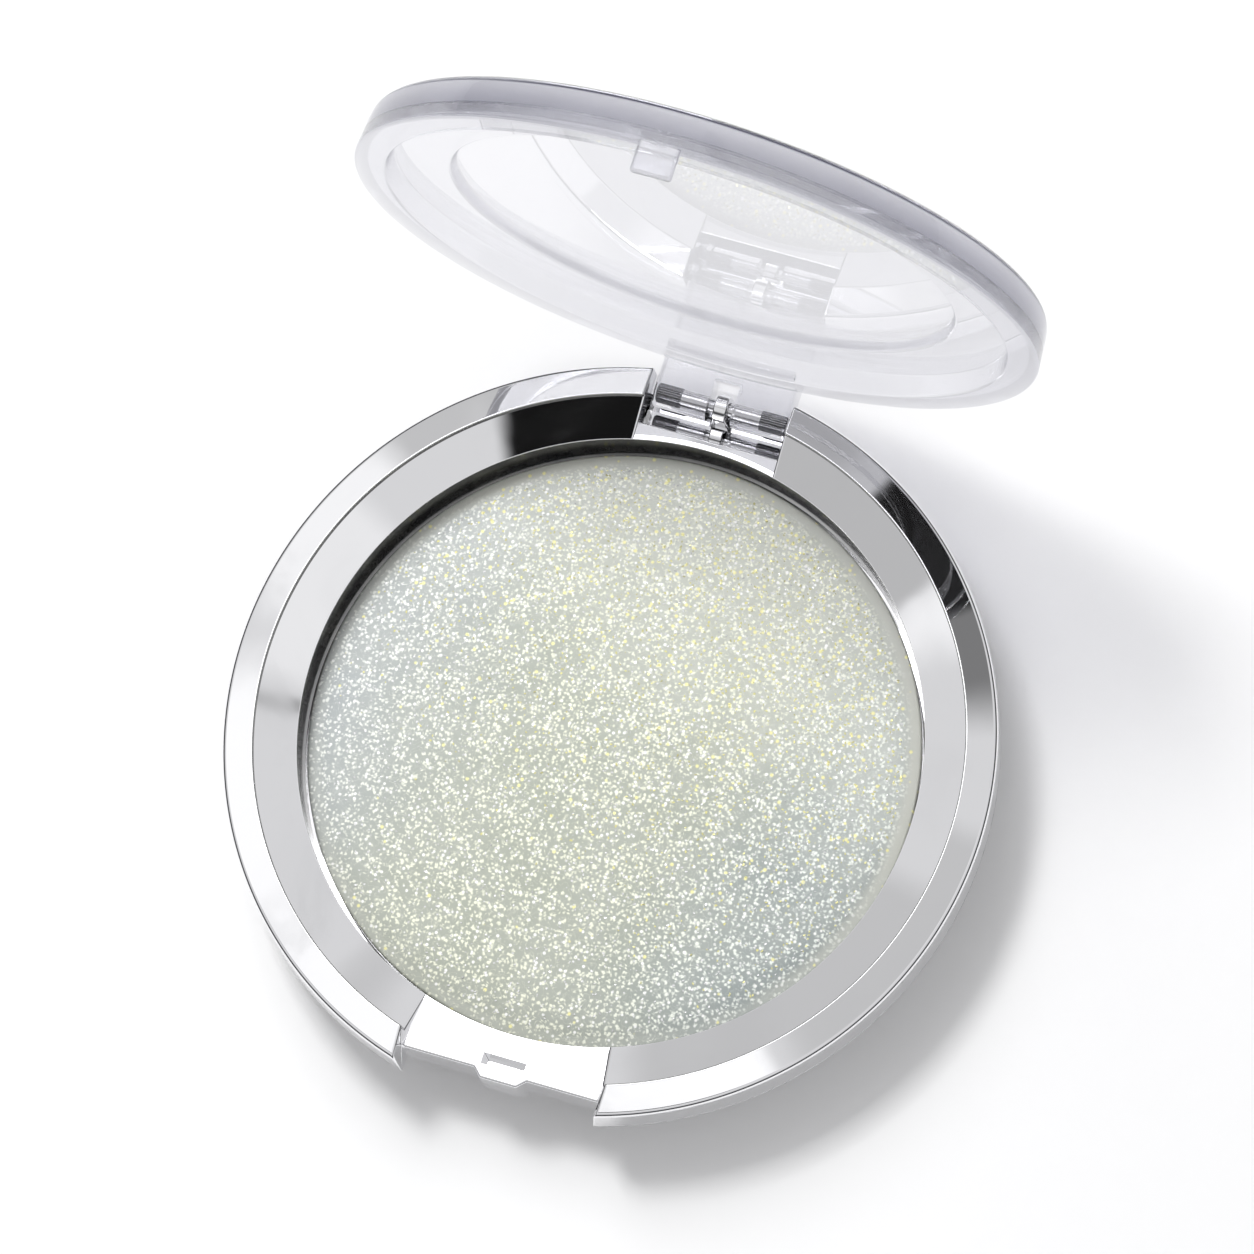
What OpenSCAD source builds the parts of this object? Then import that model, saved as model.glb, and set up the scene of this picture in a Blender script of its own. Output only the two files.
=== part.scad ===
// Round powder compact: a shallow base with a bright top frame, a pan of domed
// gel in its well, and a clear lid that swings on a steel pin.
// The base stands flat on z = 0 with the well's axis on Z. The hinge is at +Y,
// the finger notch at -Y, and the lid is drawn standing open.

/* [Base] */
// Outside diameter of the base
base_d = 76; // [64:0.5:92]
// Height of the base, up to the crest of its outer band
base_h = 11; // [9.5:0.25:14]
// Width of the outer band, from the step to the outside edge
band_w = 3.15; // [2.6:0.05:4.5]
// Fall of the outer band, from its crest to the outside edge
band_fall = 0.6; // [0.2:0.1:1]
// Width of the sloping seat under the lid's rim
seat_w = 4.1; // [3.4:0.1:5.5]
// Rise of the seat, from the lip of the well to the step
seat_rise = 1.1; // [0.6:0.1:1.5]
// Height of the step between the seat and the outer band
step_h = 0.7; // [0.4:0.1:1]
// Height of the side wall, from the parting line to the band's edge
side_h = 3.9; // [3.2:0.1:4.5]
// Radius of the side wall's top edge
edge_r = 0.5; // [0.2:0.1:0.8]

/* [Walls] */
// Thickness of the bottom case's floor
floor_t = 1.3; // [1:0.1:2]
// Height of the plinth ring that carries the pan above the floor
plinth_h = 1.5; // [0.8:0.1:2]
// Width of the plinth ring
plinth_w = 5.6; // [4:0.2:8]
// Thickness of the bottom case's wall at the plinth
case_wall = 1.25; // [1:0.05:1.8]
// Thickness of the top frame's plate under the lip
plate_t = 1.3; // [1:0.1:1.6]
// Thickness of the top frame's side wall
side_wall = 1.5; // [1.2:0.1:2]
// Thickness of the wall around the well
well_wall = 1.2; // [0.8:0.1:1.6]
// Thickness of the locating spigot inside the side wall
spigot_t = 1.15; // [0.8:0.05:1.4]
// Clearance between the two mouldings of the base
fit_gap = 0.15; // [0.1:0.05:0.25]

/* [Pan and gel] */
// Gap between the pan and the wall of the well
pan_gap = 0.5; // [0.4:0.05:1.2]
// Depth of the pan, outside
pan_h = 2.3; // [1.8:0.1:3]
// Thickness of the pan's metal
pan_t = 0.4; // [0.3:0.05:0.6]
// Radius of the pan's bottom corner
pan_corner = 0.8; // [0.5:0.1:1.2]
// Thickness of the adhesive ring under the pan
glue_t = 0.2; // [0.1:0.05:0.4]
// Gap between the adhesive ring and the plinth's edges
glue_inset = 0.5; // [0.3:0.1:1]
// Height of the gel's edge above the pan's rim
gel_edge = 0.4; // [0.2:0.1:0.8]
// Rise of the gel's dome, from its edge to its middle
gel_dome = 3; // [1.5:0.1:4]

/* [Label] */
// Diameter of the blank paper label under the base
label_d = 42; // [20:1:44]
// Thickness of the label
label_t = 0.12; // [0.1:0.02:0.2]
// Depth of the recess that holds the label clear of the table
label_recess = 0.3; // [0.25:0.05:0.5]
// Gap around the label in its recess
label_gap = 0.5; // [0.3:0.1:1]

/* [Lid] */
// Height of the lid, from its rim to the middle of its top
lid_h = 5.1; // [4.2:0.1:7]
// Gap between the lid's rim and the step of the base
lid_gap = 0.65; // [0.5:0.05:0.9]
// Height of the rim above the top of the seat when the lid is shut
rim_gap = 0.1; // [0.05:0.05:0.3]
// Width of the lid's thick rim
rim_w = 3.2; // [2.4:0.1:3.6]
// Depth of the lid's hollow at the shelf around the window
shelf_depth = 2.2; // [1.6:0.1:2.6]
// Further depth of the window above the shelf
window_depth = 1.1; // [0.5:0.1:1.5]
// Width of the shelf around the window
shelf_w = 6; // [4:0.2:9]
// Rise of the lid's top, from its edge to its middle
lid_crown = 0.35; // [0.1:0.05:0.6]
// Radius of the lid's top edge
lid_edge_r = 1.1; // [0.6:0.1:1.5]
// Draft of the lid's side wall and hollow, measured across its height
lid_draft = 0.4; // [0.2:0.1:0.6]

/* [Hinge] */
// Distance of the hinge pin inside the outside edge of the base
pin_inset = 2.2; // [2:0.1:2.6]
// Distance of the hinge pin below the lid's rim
pin_drop = 2.9; // [2.6:0.1:3.2]
// Diameter of the hinge pin at its knurled ends and of the bore they grip
pin_d = 1.5; // [1.2:0.1:1.8]
// Length of the hinge pin
pin_len = 13.3; // [11:0.1:16]
// Length of each knurled end of the pin
knurl_len = 2.7; // [2:0.1:3.5]
// How much thinner the pin is between its knurled ends
pin_relief = 0.08; // [0.06:0.02:0.12]
// Outside radius of the knuckles
knuckle_r = 1.6; // [1.4:0.1:1.8]
// Width of the lid's knuckle block beyond each end of the pin
block_end = 0.2; // [0.1:0.1:0.5]
// Gap between the knuckle block and the sides and floor of its recess
block_gap = 0.35; // [0.3:0.05:0.5]
// Width of the tongue on the base, in the middle of the hinge
tongue_w = 2; // [1.6:0.1:3]
// Gap between the tongue and the lid's knuckles
tongue_gap = 0.3; // [0.2:0.05:0.5]
// Angle by which the lid stands open
lid_open = 90; // [0:5:105]

/* [Front] */
// Width of the finger notch at the well
notch_w = 18.8; // [14:0.2:22]
// How much wider the notch is at the outside edge
notch_flare = 0.8; // [0:0.1:1.2]
// Width of the bridge between the well and the front of the notch
bridge_w = 4.1; // [3.9:0.1:4.8]
// Width of the catch
catch_w = 5.4; // [4.6:0.2:7]
// How far the catch stands out from the front of the bridge
catch_out = 0.85; // [0.6:0.05:1.1]
// Width of the lid's catch tab
tab_w = 4; // [3:0.1:4.2]
// Thickness of the lid's catch tab
tab_t = 0.8; // [0.6:0.05:0.9]
// Length of the lid's catch tab below the rim
tab_len = 2.6; // [2:0.1:3]
// Clearance around the tab in the slot of the catch
tab_gap = 0.2; // [0.15:0.05:0.3]

/* [Hidden] */
$fn = 160;
eps = 0.01;
base_r = base_d / 2;
// heights of the base
edge_z = base_h - band_fall;
equator_z = edge_z - side_h;
seat_z = base_h - step_h;
lip_z = seat_z - seat_rise;
plate_z = lip_z - plate_t;
plinth_z = floor_t + plinth_h;
ledge_z = plinth_z + 1.5;
spigot_z = plate_z - 2 * fit_gap;
// radii of the base, from the outside in
step_r = base_r - band_w;
lip_r = step_r - seat_w;
side_in_r = base_r - side_wall;
spigot_r = side_in_r - fit_gap;
spigot_in_r = spigot_r - spigot_t;
well_out_r = lip_r + well_wall;
ledge_r = well_out_r + fit_gap;
plinth_r = lip_r - fit_gap;
saucer_slope = (equator_z - plinth_z) / (base_r - plinth_r - case_wall);
foot_r = base_r - equator_z / saucer_slope;
// the case is cut away where the frame reaches down to the underside
cut_r = well_out_r + 1.05;
pad_r = cut_r + fit_gap;
case_slope = (equator_z - fit_gap - ledge_z) / (spigot_in_r - ledge_r);
pad_z = ledge_z + case_slope * (cut_r - ledge_r) + 2 * fit_gap;
// the pan and the gel
pan_r = lip_r - pan_gap;
pan_z = plinth_z + glue_t;
pan_top_z = pan_z + pan_h;
gel_r = pan_r - pan_t;
gel_z = pan_top_z + gel_edge;
gel_sphere_r = (gel_r * gel_r + gel_dome * gel_dome) / (2 * gel_dome);
// the lid, shut
lid_r = step_r - lid_gap;
rim_z = seat_z + rim_gap;
lid_edge_z = rim_z + lid_h - lid_crown;
hollow_r = lid_r - rim_w;
window_r = hollow_r - shelf_w;
shelf_z = rim_z + shelf_depth;
window_z = shelf_z + window_depth;
// the hinge
pin_y = base_r - pin_inset;
pin_z = rim_z - pin_drop;
block_w = pin_len + 2 * block_end;
recess_w = block_w + 2 * block_gap;
recess_floor_z = pin_z - knuckle_r - block_gap + 0.05;
recess_y = pin_y - knuckle_r - block_gap;
hinge_pad_w = recess_w + 2.4;
slot_w = tongue_w + 2 * tongue_gap;
bore_d = pin_d;
journal_d = pin_d - pin_relief;
// the notch and the catch
notch_out_w = notch_w + notch_flare;
notch_y = lip_r + bridge_w;
notch_pad_w = notch_out_w + 2.4;
tab_y = lid_r - tab_t - 0.05;
tab_z = rim_z - tab_len;
slot_z = tab_z - 0.5;

// points on an arc about [cx, cz], from angle a to angle b
function arc(cx, cz, r, a, b, n = 6) =
    [for (i = [0:n]) let (t = a + (b - a) * i / n) [cx + r * cos(t), cz + r * sin(t)]];

// the top of the base from the side wall over the outer band and the step to the lip
function top_outline() = concat(
    arc(base_r - edge_r, edge_z - edge_r, edge_r, 0, 79),
    [[step_r + 0.25, base_h], [step_r, base_h - 0.25], [step_r, seat_z], [lip_r, lip_z]]);

// a shape drawn in the YZ plane, made w wide along X about the middle
module along_x(w) {
    rotate([90, 0, 90])
        linear_extrude(height = w, center = true)
            children();
}

// a box centred on X that runs from y0 to y1 and from z0 to z1
module slab(w, y0, y1, z0, z1) {
    translate([-w / 2, min(y0, y1), z0])
        cube([w, abs(y1 - y0), z1 - z0]);
}

// the part of a slab that lies outside radius r
module slab_beyond(r, w, y0, y1, z0, z1) {
    difference() {
        slab(w, y0, y1, z0, z1);
        translate([0, 0, z0 - 1])
            cylinder(r = r, h = z1 - z0 + 2);
    }
}

// the outside of the whole base, solid
module base_envelope() {
    rotate_extrude()
        polygon(concat(
            [[0, 0], [foot_r, 0], [base_r, equator_z]],
            top_outline(),
            [[0, lip_z]]
        ));
}

module bottom_case_body() {
    rotate_extrude()
        polygon([
            [0, 0],
            [foot_r, 0],
            [base_r, equator_z],
            [spigot_r, equator_z],
            [spigot_r, spigot_z],
            [spigot_in_r, spigot_z],
            [spigot_in_r, equator_z - fit_gap],
            [ledge_r, ledge_z],
            [plinth_r, ledge_z],
            [plinth_r, plinth_z],
            [plinth_r - plinth_w, plinth_z],
            [plinth_r - plinth_w, floor_t],
            [0, floor_t]
        ]);
}

module bottom_case() {
    color("silver")
        difference() {
            bottom_case_body();
            translate([0, 0, -eps])
                cylinder(r = label_d / 2 + label_gap, h = label_recess + eps);
            slab_beyond(cut_r, notch_pad_w + 2 * fit_gap, -lip_r + 4, -base_r - 1, -1, base_h);
            slab_beyond(cut_r, hinge_pad_w + 2 * fit_gap, lip_r - 4, base_r + 1, -1, base_h);
        }
}

// the two bands, the side wall and the wall of the well, as a thin shell
module frame_shell() {
    rotate_extrude()
        polygon(concat(
            [[lip_r, ledge_z], [well_out_r, ledge_z], [well_out_r, plate_z]],
            [[side_in_r, plate_z], [side_in_r, equator_z], [base_r, equator_z]],
            top_outline()
        ));
}

// solid bridge under the finger notch and solid housing under the hinge
module frame_pads() {
    intersection() {
        base_envelope();
        union() {
            slab(notch_pad_w, -lip_r + 4, -base_r - 1, pad_z, base_h);
            slab(hinge_pad_w, lip_r - 4, base_r + 1, pad_z, base_h);
            slab_beyond(pad_r, hinge_pad_w, lip_r - 4, base_r + 1, 0, base_h);
        }
    }
}

// the notch for a fingertip: down to the lip behind the bridge, right through in front of it
module finger_notch() {
    translate([0, 0, lip_z])
        linear_extrude(height = base_h)
            polygon([
                [-notch_w / 2, -lip_r + 3],
                [notch_w / 2, -lip_r + 3],
                [notch_out_w / 2, -base_r - 1],
                [-notch_out_w / 2, -base_r - 1]
            ]);
    slab(notch_out_w, -notch_y, -base_r - 1, -1, base_h + 1);
}

// the recess for the lid's knuckle block, sloping down from the lip and open at the back
module hinge_recess() {
    along_x(recess_w)
        polygon([
            [well_out_r - 0.3, base_h + 1],
            [well_out_r - 0.3, lip_z - 0.2],
            [recess_y, lip_z - 2.2],
            [recess_y, recess_floor_z],
            [base_r + 1, recess_floor_z],
            [base_r + 1, base_h + 1]
        ]);
}

// the tongue that the pin turns in, flared where it meets the floor of the recess
module hinge_tongue() {
    along_x(tongue_w)
        union() {
            translate([pin_y, pin_z])
                circle(r = knuckle_r - 0.2);
            polygon([
                [pin_y - knuckle_r + 0.25, pin_z],
                [pin_y + knuckle_r - 0.25, pin_z],
                [pin_y + knuckle_r - 0.35, recess_floor_z - eps],
                [pin_y - knuckle_r - 0.1, recess_floor_z - eps]
            ]);
        }
}

// the catch on the front of the bridge, with the slot for the lid's tab
module catch_boss() {
    translate([0, 0, pad_z])
        linear_extrude(height = lip_z - pad_z)
            polygon([
                [-catch_w / 2, -notch_y + 0.5],
                [catch_w / 2, -notch_y + 0.5],
                [catch_w / 2, -notch_y],
                [catch_w / 2 - catch_out, -notch_y - catch_out],
                [-catch_w / 2 + catch_out, -notch_y - catch_out],
                [-catch_w / 2, -notch_y]
            ]);
}

module top_frame() {
    color("gainsboro")
        difference() {
            union() {
                difference() {
                    union() {
                        frame_shell();
                        frame_pads();
                    }
                    finger_notch();
                    hinge_recess();
                }
                hinge_tongue();
                catch_boss();
            }
            // the well
            translate([0, 0, -1])
                cylinder(r = lip_r, h = base_h + 2);
            // the slot for the lid's tab
            slab(tab_w + 2 * tab_gap, -tab_y + tab_gap, -tab_y - tab_t - tab_gap, slot_z, base_h);
            // the running bore of the tongue
            translate([-tongue_w, pin_y, pin_z])
                rotate([0, 90, 0])
                    cylinder(d = bore_d, h = 2 * tongue_w, $fn = 48);
            // the hole through which the pin is pressed in
            translate([recess_w / 2 - 1, pin_y, pin_z])
                rotate([0, 90, 0])
                    cylinder(d = pin_d + 0.3, h = base_r, $fn = 48);
        }
}

module pan_adhesive() {
    color("ivory")
        translate([0, 0, plinth_z])
            difference() {
                cylinder(r = pan_r - pan_corner - glue_inset, h = glue_t);
                translate([0, 0, -eps])
                    cylinder(r = plinth_r - plinth_w + glue_inset, h = glue_t + 2 * eps);
            }
}

module pan() {
    inner_corner = pan_corner - pan_t;
    color("lightgray")
        translate([0, 0, pan_z])
            rotate_extrude()
                polygon(concat(
                    [[0, 0]],
                    arc(pan_r - pan_corner, pan_corner, pan_corner, -90, 0),
                    [[pan_r, pan_h], [pan_r - pan_t, pan_h]],
                    arc(pan_r - pan_corner, pan_corner, inner_corner, 0, -90),
                    [[0, pan_t]]
                ));
}

// the gel fills the pan and stands above it as a shallow dome
module gel() {
    corner = pan_corner - pan_t;
    half_angle = asin(gel_r / gel_sphere_r);
    color("honeydew")
        rotate_extrude()
            polygon(concat(
                [[0, pan_z + pan_t]],
                arc(pan_r - pan_corner, pan_z + pan_corner, corner, -90, 0),
                arc(0, gel_z + gel_dome - gel_sphere_r, gel_sphere_r, 90 - half_angle, 90, 24)
            ));
}

module base_label() {
    color("white")
        translate([0, 0, label_recess - label_t])
            cylinder(d = label_d, h = label_t);
}

module hinge_pin() {
    color("dimgray")
        translate([-pin_len / 2, pin_y, pin_z])
            rotate([0, 90, 0])
                union() {
                    cylinder(d = journal_d, h = pin_len, $fn = 48);
                    cylinder(d = pin_d, h = knurl_len, $fn = 48);
                    translate([0, 0, pin_len - knurl_len])
                        cylinder(d = pin_d, h = knurl_len, $fn = 48);
                }
}

// the round part of the lid: thick rim, shelf, window and crowned top
module lid_shell() {
    crown_r = (lid_r * lid_r + lid_crown * lid_crown) / (2 * lid_crown);
    edge_cx = lid_r - lid_draft - lid_edge_r;
    crown_a = asin(edge_cx / crown_r);
    rotate_extrude()
        polygon(concat(
            [[hollow_r + 0.3, rim_z], [lid_r - 0.4, rim_z], [lid_r, rim_z + 0.4]],
            arc(edge_cx, lid_edge_z - lid_edge_r, lid_edge_r, 0, 90 - crown_a),
            arc(0, lid_edge_z + lid_crown - crown_r, crown_r, 90 - crown_a + 0.2, 90, 16),
            [[0, window_z], [window_r - 0.2, window_z], [window_r, window_z - 0.3]],
            [[window_r + 0.1, shelf_z], [hollow_r - lid_draft - 0.4, shelf_z]],
            [[hollow_r - lid_draft, shelf_z - 0.4], [hollow_r, rim_z + 0.3]]
        ));
}

// the block that hangs from the rim and holds the pin
module knuckle_block() {
    along_x(block_w)
        union() {
            translate([pin_y, pin_z])
                circle(r = knuckle_r, $fn = 64);
            polygon([
                [pin_y - knuckle_r, pin_z],
                [pin_y + knuckle_r, pin_z],
                [pin_y + knuckle_r, rim_z + 0.9],
                [pin_y + knuckle_r - 0.9, rim_z + 1.8],
                [hollow_r + 0.7, rim_z + 1.8],
                [hollow_r + 0.7, rim_z + 0.2],
                [pin_y - knuckle_r, rim_z + 0.2]
            ]);
        }
}

module lid_shut() {
    difference() {
        union() {
            lid_shell();
            knuckle_block();
            slab(tab_w, -tab_y, -tab_y - tab_t, tab_z, rim_z + 0.5);
        }
        // the slot that clears the tongue through the whole swing
        translate([-slot_w / 2, pin_y, pin_z])
            rotate([0, 90, 0])
                cylinder(r = pin_drop - 0.2, h = slot_w, $fn = 64);
        // the bore that grips the pin
        translate([-block_w, pin_y, pin_z])
            rotate([0, 90, 0])
                cylinder(d = bore_d, h = 2 * block_w, $fn = 48);
    }
}

module lid() {
    color("aliceblue")
        translate([0, pin_y, pin_z])
            rotate([-lid_open, 0, 0])
                translate([0, -pin_y, -pin_z])
                    lid_shut();
}

bottom_case();
top_frame();
pan_adhesive();
pan();
gel();
base_label();
hinge_pin();
lid();
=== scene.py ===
"""A round compact with a mirror-bright base, a well of pearly gel and a clear lid that stands open."""

from math import acos, cos, hypot, pi, radians, sin, sqrt, tan

import bpy
from mathutils import Matrix, Vector


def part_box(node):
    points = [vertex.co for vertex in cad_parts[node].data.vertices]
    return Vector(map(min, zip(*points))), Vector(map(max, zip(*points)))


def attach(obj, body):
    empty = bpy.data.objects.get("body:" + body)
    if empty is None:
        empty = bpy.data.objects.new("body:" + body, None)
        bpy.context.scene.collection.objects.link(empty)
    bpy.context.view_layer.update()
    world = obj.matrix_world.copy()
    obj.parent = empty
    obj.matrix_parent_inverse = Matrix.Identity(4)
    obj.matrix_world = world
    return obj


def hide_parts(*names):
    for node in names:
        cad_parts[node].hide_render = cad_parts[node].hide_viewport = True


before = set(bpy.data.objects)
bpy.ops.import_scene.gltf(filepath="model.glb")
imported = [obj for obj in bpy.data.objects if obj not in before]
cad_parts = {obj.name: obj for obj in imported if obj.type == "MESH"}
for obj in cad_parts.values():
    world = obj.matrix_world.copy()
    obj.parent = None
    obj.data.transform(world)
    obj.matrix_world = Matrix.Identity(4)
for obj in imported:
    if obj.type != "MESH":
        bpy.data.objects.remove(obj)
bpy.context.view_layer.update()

# ---- sizes
# Everything below is in millimetres and is turned into metres where a mesh is made. Lengths inside
# materials, Geometry Nodes and the camera are in metres.
MM = 0.001


def node_box(name):
    """The corners of a CAD node in millimetres."""
    low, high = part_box(name)
    return [c / MM for c in low], [c / MM for c in high]


FRAME_LOW, FRAME_HIGH = node_box("top_frame")
CASE_HIGH = node_box("bottom_case")[1]
PIN_LOW, PIN_HIGH = node_box("hinge_pin")
PAN_HIGH = node_box("pan")[1]
GEL_LOW, GEL_HIGH = node_box("gel")

BASE_R = CASE_HIGH[0]
BASE_H = FRAME_HIGH[2]
PIN_LEN = PIN_HIGH[0] - PIN_LOW[0]
PIN_D = PIN_HIGH[2] - PIN_LOW[2]
PIN_Y = (PIN_HIGH[1] + PIN_LOW[1]) / 2
PIN_Z = (PIN_HIGH[2] + PIN_LOW[2]) / 2

BAND_W = 3.15
BAND_FALL = 0.6
SEAT_W = 4.1
SEAT_RISE = 1.1
STEP_H = 0.7
SIDE_H = 3.9
STEP_R = BASE_R - BAND_W
LIP_R = STEP_R - SEAT_W
EDGE_Z = BASE_H - BAND_FALL
EQUATOR_Z = EDGE_Z - SIDE_H
SEAT_Z = BASE_H - STEP_H
LIP_Z = SEAT_Z - SEAT_RISE
WELL_WALL = 1.2
LIP_W = 0.6
LIP_STEP = 0.35
SEAT_GAP = 0.07
SIDE_WALL = 1.5
LEDGE_Z = FRAME_LOW[2] + 0.72

RECESS_W = 14.4
RECESS_FLOOR_Z = 5.6
RECESS_Y = 33.85
SPIGOT_TOP_Z = 7.75
PAD_T = 1.2
TONGUE_W = 2.0
KNUCKLE_R = 1.6
KNURL_LEN = 2.7
BORE_R = 0.75
NOTCH_W = 18.8
NOTCH_OUT_W = 19.6
NOTCH_Y = LIP_R + 4.1
NOTCH_LEAN = 0.42
END_ROUND = 0.22
CATCH_W = 5.4
CATCH_OUT = 0.85
CATCH_SLOT_Z = 7.3

RIM_Z = SEAT_Z + 0.1
LID_H = 5.1
LID_CROWN = 0.35
SHOULDER_R = 1.1
LID_R = STEP_R - 0.65
HOLLOW_R = LID_R - 3.2
WINDOW_R = HOLLOW_R - 6.0
SHELF_Z = RIM_Z + 2.2
WINDOW_Z = SHELF_Z + 1.1
BLOCK_W = 13.7
BLOCK_TOP = 12.2
BLOCK_SLOT_R = 2.7
TAB_W = 4.0
TAB_T = 0.8
TAB_LEN = 2.6
TAB_Y = LID_R - TAB_T - 0.05
TAB_GAP = 0.2
LID_OPEN = radians(90)

# The height below which the ends of the two bands are left square, because the case hides them.
UNDERSIDE_Z = 7.9
CONE_SLOPE = 0.6
FOOT_R = BASE_R - EQUATOR_Z / CONE_SLOPE
PAD_R = 33.15
SEGMENTS = 288
SHARP = radians(32)
# How far from a rounding the point lies that keeps the flat beside it flat.
SUPPORT = 0.06


# ---- outlines
def arc(cx, cz, r, start, end, steps=6):
    """Points on an arc, with its angles in degrees."""
    out = []
    for i in range(steps + 1):
        t = radians(start + (end - start) * i / steps)
        out.append((cx + r * cos(t), cz + r * sin(t)))
    return out


def rounded(corners, steps=5):
    """A closed outline from (x, y, radius) corners. Each corner becomes an arc, with a point close to
    either side of it that keeps the flats beside it flat when the surface is shaded smooth."""
    out = []
    count = len(corners)
    for i, (x, y, r) in enumerate(corners):
        here = Vector((x, y))
        before = Vector(corners[i - 1][:2])
        after = Vector(corners[(i + 1) % count][:2])
        if r <= 0:
            out.append((x, y))
            continue
        a = (before - here).normalized()
        b = (after - here).normalized()
        half = acos(max(-1.0, min(1.0, a.dot(b)))) / 2
        reach = r / tan(half)
        centre = here + (a + b).normalized() * (r / sin(half))
        start = here + a * reach
        end = here + b * reach
        va, vb = start - centre, end - centre
        sweep = va.angle_signed(vb) * -1
        out.append(tuple(start + a * SUPPORT))
        for k in range(steps + 1):
            t = sweep * k / steps
            c, s = cos(t), sin(t)
            out.append((centre.x + va.x * c - va.y * s, centre.y + va.x * s + va.y * c))
        out.append(tuple(end + b * SUPPORT))
    return out


def area(outline):
    """Signed area: positive when the outline runs anticlockwise."""
    total = 0.0
    for i, (x, y) in enumerate(outline):
        px, py = outline[i - 1]
        total += px * y - x * py
    return total / 2


def inset(outline, depth):
    """The anticlockwise outline moved inwards by depth, point for point."""
    out = []
    count = len(outline)
    for i in range(count):
        p = Vector(outline[i])
        a = p - Vector(outline[i - 1])
        b = Vector(outline[(i + 1) % count]) - p
        na = Vector((-a.y, a.x)).normalized()
        nb = Vector((-b.y, b.x)).normalized()
        n = na + nb
        scale = 1.0 + na.dot(nb)
        out.append(tuple(p + n * (depth / max(scale, 0.4))))
    return out


# ---- meshes
def added(name, data):
    """A new object in the scene."""
    obj = bpy.data.objects.new(name, data)
    bpy.context.scene.collection.objects.link(obj)
    return obj


def select_only(*objects):
    """Selects these objects and no others, with the first one active."""
    for other in bpy.context.selected_objects:
        other.select_set(False)
    for obj in objects:
        obj.select_set(True)
    bpy.context.view_layer.objects.active = objects[0]


def mesh_from(name, verts, faces):
    """An object made of millimetre points and faces."""
    mesh = bpy.data.meshes.new(name)
    mesh.from_pydata([(x * MM, y * MM, z * MM) for x, y, z in verts], [], faces)
    mesh.validate()
    return added(name, mesh)


def loft(name, rings, wrap=False):
    """Joins rings of the same number of points, closed by a face at each end or wrapped round."""
    n = len(rings[0])
    verts = [p for ring in rings for p in ring]
    faces = []
    spans = len(rings) if wrap else len(rings) - 1
    for i in range(spans):
        a, b = i * n, ((i + 1) % len(rings)) * n
        for k in range(n):
            m = (k + 1) % n
            faces.append((a + k, a + m, b + m, b + k))
    if not wrap:
        faces.append(tuple(reversed(range(n))))
        faces.append(tuple((len(rings) - 1) * n + k for k in range(n)))
    return mesh_from(name, verts, faces)


def face_out(obj):
    """Merges doubles and points every face outwards."""
    select_only(obj)
    bpy.ops.object.mode_set(mode="EDIT")
    bpy.ops.mesh.select_all(action="SELECT")
    bpy.ops.mesh.remove_doubles(threshold=1e-7)
    bpy.ops.mesh.normals_make_consistent(inside=False)
    bpy.ops.object.mode_set(mode="OBJECT")
    obj.select_set(False)
    return obj


def spun(outline, segments):
    """The (radius, height) points of an outline, at every step about Z."""
    turns = [2 * pi * i / segments for i in range(segments)]
    return [[(r * cos(t), r * sin(t), z) for r, z in outline] for t in turns]


def lathe(name, outline, segments=SEGMENTS):
    """A closed outline of (radius, height) points turned about Z."""
    return face_out(loft(name, spun(outline, segments), wrap=True))


def turned(name, outline, segments=SEGMENTS):
    """An outline that starts and ends on the axis, turned about Z, with a fan of triangles at each pole."""
    verts = [(0, 0, outline[0][1])]
    body = outline[1:-1]
    for ring in spun(body, segments):
        verts += ring
    verts.append((0, 0, outline[-1][1]))
    n, top = len(body), len(verts) - 1
    faces = []
    for i in range(segments):
        a, b = 1 + i * n, 1 + ((i + 1) % segments) * n
        faces.append((0, b, a))
        for k in range(n - 1):
            faces.append((a + k, b + k, b + k + 1, a + k + 1))
        faces.append((a + n - 1, b + n - 1, top))
    return face_out(mesh_from(name, verts, faces))


def end_steps(radius, steps=5):
    """(distance from the end, inset of the outline) for a rounded end, from the face inwards."""
    out = [(0.0, radius + SUPPORT), (0.0, radius)]
    for i in range(1, steps + 1):
        t = radians(90 * i / steps)
        out.append((radius * (1 - cos(t)), radius * (1 - sin(t))))
    out.append((radius + SUPPORT, 0.0))
    return out


def shrunk(outline, depth, square):
    """The outline moved inwards, apart from the points that square picks."""
    return [p if square and square(*p) else q for p, q in zip(outline, inset(outline, depth))]


def prism(name, outline, low, high, place, round_low=0.0, round_high=0.0, square=None):
    """An outline swept from low to high, with rounded ends. place turns (u, v, w) into (x, y, z), and
    square says which points of the outline keep square ends."""
    if area(outline) < 0:
        outline = outline[::-1]
    rings = []
    lows = end_steps(round_low) if round_low else [(0.0, 0.0)]
    highs = end_steps(round_high) if round_high else [(0.0, 0.0)]
    for along, depth in lows:
        rings.append([place(u, v, low + along) for u, v in shrunk(outline, depth, square)])
    for along, depth in reversed(highs):
        rings.append([place(u, v, high - along) for u, v in shrunk(outline, depth, square)])
    return face_out(loft(name, rings))


def across(u, v, w):
    """An outline in the YZ plane, swept along X."""
    return (w, u, v)


def upright(u, v, w):
    """An outline in the XY plane, swept along Z."""
    return (u, v, w)


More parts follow.
